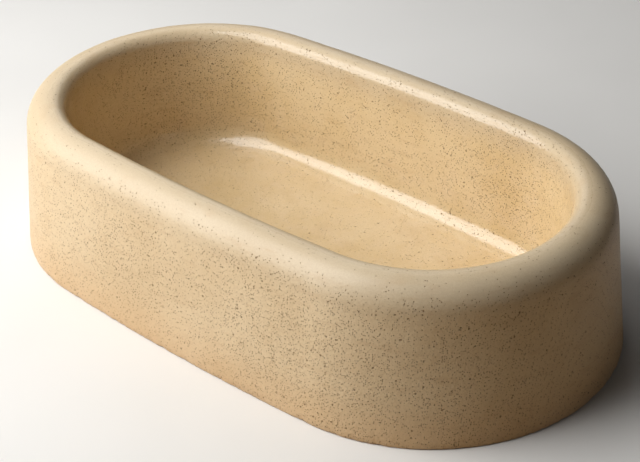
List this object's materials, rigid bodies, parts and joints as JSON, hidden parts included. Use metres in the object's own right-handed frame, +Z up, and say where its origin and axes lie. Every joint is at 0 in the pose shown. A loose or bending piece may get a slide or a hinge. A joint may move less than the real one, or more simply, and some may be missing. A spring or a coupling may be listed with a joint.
{
  "type": "vessel basin",
  "caption": "Oval concrete vessel basin with a full round rim, for standing on a counter, with a push-to-open waste that rises to drain.",
  "frame": {"origin": "centre of the flat underside, on the counter's face", "axes": "+X along the basin's length, +Y across it towards the far long side, +Z up"},
  "size_m": [0.5698, 0.3216, 0.195],
  "materials": {
    "concrete": "satin",
    "plated_brass": "polished",
    "raw_brass": "satin",
    "spring_steel": "satin",
    "black_rubber": "matte",
    "grey_foam": "matte",
    "clear_silicone": "satin",
    "white_plastic": "satin",
    "grey_plastic": "satin"
  },
  "bodies": {
    "basin": {"basin_bowl": "concrete", "waste_body": "plated_brass", "flange_gasket": "grey_foam", "base_washer": "black_rubber", "slip_washer": "white_plastic", "back_nut": "raw_brass", "cartridge_housing": "grey_plastic", "cartridge_end_cap": "grey_plastic", "return_spring": "spring_steel"},
    "plug": {"plug_cover": "concrete", "plug_carrier": "plated_brass", "plug_seal": "clear_silicone", "spindle": "raw_brass", "lock_nut": "raw_brass", "push_crown": "white_plastic", "retaining_clip": "spring_steel"},
    "rotor": {"latch_rotor": "white_plastic"}
  },
  "joints": [
    {"name": "plug_lift", "type": "slide", "parent": "basin", "child": "plug", "axis": [0, 0, 1], "range_m": [0, 0.009], "deforming": ["return_spring"]},
    {"name": "rotor_turn", "type": "hinge", "parent": "plug", "child": "rotor", "pos_m": [0, -0.038, -0.015], "axis": [0, 0, 1], "range_deg": [0, 45]}
  ],
  "couplings": [
    {"joint": "rotor_turn", "follows": "plug_lift", "rad_per_m": 87.266}
  ]
}
